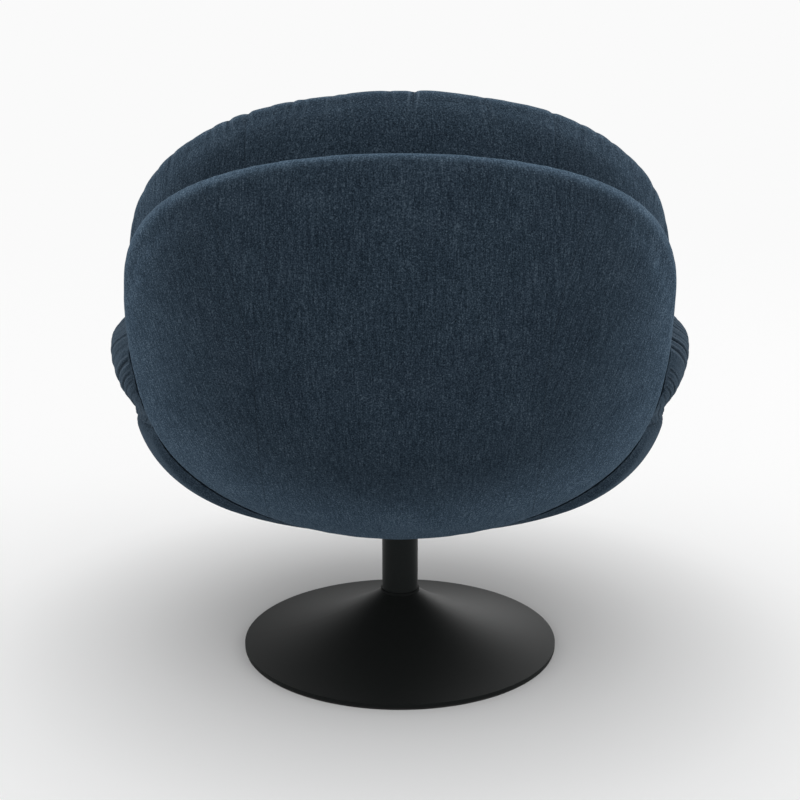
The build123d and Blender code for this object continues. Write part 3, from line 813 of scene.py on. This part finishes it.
back_cushion = soft_copy("back_cushion", "back_cushion_cover", net=0.006)
relax(back_cushion, 4, back_cushion_neighbours)
rim = 1 - ease(np.abs(read_normals(back_cushion.data)[:, 1]), *cushion_rim_facing)
swell(back_cushion, back_cushion_neighbours, rim, draw_in=0.006, cap=0.022, pressure=9.0)
refine(back_cushion)
points = read_points(back_cushion.data)
normals = read_normals(back_cushion.data)
gaps = neighbour_gap(points, back_cushion_neighbours)
x, y, z = points.T
below = crown_height(x) - z
crease_x = x + crease_sway * below * np.sin(crease_sway_wave * x)
count, depth = gather(12, crease_x, below, crown_creases, crease_wave, crown_crease_width)
run = np.where(normals[:, 1] > 0, crease_run_back, crease_run_front)
depth *= np.exp(-np.clip(below, 0, None) / run) * ease(gaps, *crease_fade)
seam_side = np.abs(x) - crown_seam
notch = notch_depth * np.exp(-(seam_side / notch_width) ** 2) * ease(gaps, *crease_fade)
lumps = np.sin(31 * x + 1.0) * np.sin(23 * z + 2.0) + np.sin(57 * x + 3.1) * np.sin(41 * y + 0.4)
top_lump = top_lump_height * np.exp(-((x - top_lump_x) / top_lump_width) ** 2)
plump = (crown_lift + top_lump + lump_depth * lumps / 2) * ease(gaps, *plump_fade)
lift = crown_depth * crease(count, depth) - notch + plump
write_points(back_cushion.data, points + normals * lift[:, None])
around = np.arctan2(x, y - back_axis_y) * cushion_wrap
set_attribute(back_cushion, "weave", "FLOAT_VECTOR", np.stack([around, z, y], 1))
set_attribute(back_cushion, "seam", "FLOAT", seam_side)
set_attribute(back_cushion, "fold", "FLOAT", count)
set_attribute(back_cushion, "fold_depth", "FLOAT", depth)
dress(back_cushion, "chair", "back_cushion", nap_and_sheen=0.6)

# %% [markdown]
# ## The seat cushion
# One cushion makes the seat and the arms: a smooth round middle, sewn into a thick roll. The roll's
# cover is cut too long and gathered at both edges, so creases cross it from the inner seam, over the
# top and down the outside, where they slant towards the front. Its lower edge hangs a little over the
# shell at the sides.

# %% Seat cushion
bowl_centre_y = -0.05
middle_radius = 0.251
roll_radius = 0.428
roll_rise = (math.radians(25), math.radians(95))
roll_widest = (0.412, 0.468)
roll_middle_radius = 0.34
fold_slant = 5.0
fold_start = 0.036
fold_spacing = 0.062
fold_height = 0.0042
lip_reach = 0.014
lip_turn = (1.2, 1.7)
lip_out = 0.0055
lip_drop = 0.005
lip_start = (0.370, 0.390)
fold_end = 3.6
fold_wave = 0.11
fold_lean = (0.3, 1.2)
fold_fade = (0.0005, 0.006)
fold_puff = 0.3
roll_wrap = 0.4
roll_outside = (0.38, 0.42)
outer_gather = (0.37, 0.42)
inner_gather = 0.05
loose_share = 0.30
top_side_z = 0.40
left_creases = [
    (1.94, 0.5), (2.03, 0.3), (2.11, 1.0), (2.20, 0.7), (2.30, 0.1), (2.37, 0.6),
    (2.43, 1.0), (2.49, 0.7), (2.55, 0.3), (2.61, 0.9), (2.70, 0.4),
]
right_creases = [
    (1.90, 0.3), (1.97, 0.15), (2.06, 1.0), (2.17, 0.25), (2.30, 0.8),
    (2.395, 1.0), (2.45, 0.8), (2.52, 0.5), (2.62, 0.4),
]
seat_neighbours = ["seat_shell_pad", "back_shell_pad", "back_cushion", "seat_foam", "back_board"]


def seat_polar(points):
    """Turn from the front, 0 to pi on both sides, and distance from the middle of the bowl."""
    x, y = points[:, 0], points[:, 1] - bowl_centre_y
    return np.arctan2(np.abs(x), -y), np.hypot(x, y)


def roll_creases(seed, known):
    """Places and sizes of the creases round half of the roll, uneven before and after the known ones."""
    first, last = known[0][0] - fold_spacing / 2, known[-1][0] + fold_spacing
    before = gather_places(seed, 0.0, first, fold_spacing)
    before = before[before < first]
    after = gather_places(seed, last, fold_end, fold_spacing)
    places = np.concatenate([before, [place for place, size in known], after])
    sizes = np.concatenate([before * np.nan, [size for place, size in known], after * np.nan])
    return places, sizes


seat_cushion = soft_copy("seat_cushion", "seat_cushion_cover", net=0.007)
relax(seat_cushion, 4, seat_neighbours)
tuck(seat_cushion, "seat_cushion", "back_shell_pad", clearance=-0.0006)
points = read_points(seat_cushion.data)
turn, reach = seat_polar(points)
ring = near_line(np.where(points[:, 2] > top_side_z, reach - middle_radius, 1.0))
level = np.abs(read_normals(seat_cushion.data)[:, 2])
rim = (1 - ease(level, *cushion_rim_facing)) * ease(reach, *roll_outside)
swell(seat_cushion, seat_neighbours, np.maximum(ring, rim), draw_in=0.003, cap=0.022, pressure=5.0)
refine(seat_cushion)
points = read_points(seat_cushion.data)
normals = read_normals(seat_cushion.data)
gaps = neighbour_gap(points, seat_neighbours)
turn, reach = seat_polar(points)
x, y, z = points.T
raised = ease(turn, *roll_rise)
widest = roll_widest[0] + (roll_widest[1] - roll_widest[0]) * raised
slanted = turn + fold_slant * ease(turn, *fold_lean) * np.clip(widest + fold_start - z, 0, None)
outside_down = roll_radius - middle_radius + widest - z
down = np.where(reach > roll_middle_radius, outside_down, reach - middle_radius)
places_left, sizes_left = roll_creases(21, left_creases)
places_right, sizes_right = roll_creases(22, right_creases)
count_left, depth_left = gather(23, slanted, down, places_left, fold_wave, sizes=sizes_left)
count_right, depth_right = gather(24, slanted, down, places_right, fold_wave, sizes=sizes_right)
count = np.where(x < 0, count_left, count_right)
depth = np.where(x < 0, depth_left, depth_right)
inner_pull = np.exp(-np.clip(reach - middle_radius, 0, None) / inner_gather)
outer_pull = ease(reach, *outer_gather)
depth *= loose_share + (1 - loose_share) * np.maximum(inner_pull, outer_pull)
depth *= ease(reach, middle_radius + 0.002, middle_radius + 0.02) * ease(gaps, *fold_fade)
lift = fold_height * (crease(count, depth) + fold_puff * depth)
points += normals * lift[:, None]
on_shell = neighbour_gap(points, ["seat_shell_pad"])
lip = (1 - ease(on_shell, 0.002, lip_reach)) * ease(reach, *lip_start) * ease(turn, *lip_turn)
away = np.stack([x, y - bowl_centre_y], 1) / reach[:, None]
points[:, :2] += away * (lip_out * lip)[:, None]
points[:, 2] -= lip_drop * lip
write_points(seat_cushion.data, points)
flat = reach < middle_radius
weave_u = np.where(flat, x, turn * roll_wrap)
weave_v = np.where(flat, y, z + reach)
set_attribute(seat_cushion, "weave", "FLOAT_VECTOR", np.stack([weave_u, weave_v, x * 0], 1))
set_attribute(seat_cushion, "seam", "FLOAT", np.where(z > top_side_z, reach - middle_radius, 1.0))
set_attribute(seat_cushion, "fold", "FLOAT", count)
set_attribute(seat_cushion, "fold_depth", "FLOAT", depth)
dress(seat_cushion, "chair", "seat_cushion", nap_and_sheen=0.05)

# %% [markdown]
# ## The seat shell
# The padded bowl under the seat cushion is tight and smooth. It has no gathers, so it is only swelled and
# made a few millimetres fuller where it is free.

# %% Seat shell pad
shell_neighbours = ["seat_board", "seat_plate", "back_shell_pad", "seat_cushion", "bolt_sleeves"]
shell_plump = 0.003
shell_plump_fade = (0.001, 0.016)
shell_wrap = 0.38
seat_shell = soft_copy("seat_shell_pad", "seat_shell_cover", net=0.006)
relax(seat_shell, 3, shell_neighbours)
tuck(seat_shell, "seat_shell_pad", "back_shell_pad", clearance=0.0004)
held = np.zeros(len(seat_shell.data.vertices))
swell(seat_shell, shell_neighbours, held, draw_in=0.001, cap=0.005, pressure=3.0)
refine(seat_shell)
points = read_points(seat_shell.data)
normals = read_normals(seat_shell.data)
gaps = neighbour_gap(points, shell_neighbours)
points += normals * (shell_plump * ease(gaps, *shell_plump_fade))[:, None]
write_points(seat_shell.data, points)
x, y, z = points.T
turn, reach = np.arctan2(x, y - bowl_centre_y), np.hypot(x, y - bowl_centre_y)
set_attribute(seat_shell, "weave", "FLOAT_VECTOR", np.stack([turn * shell_wrap, reach + z, z], 1))
set_attribute(seat_shell, "seam", "FLOAT", np.full(len(points), 1.0))
dress(seat_shell, "chair", "seat_shell_pad", nap_and_sheen=0.1)
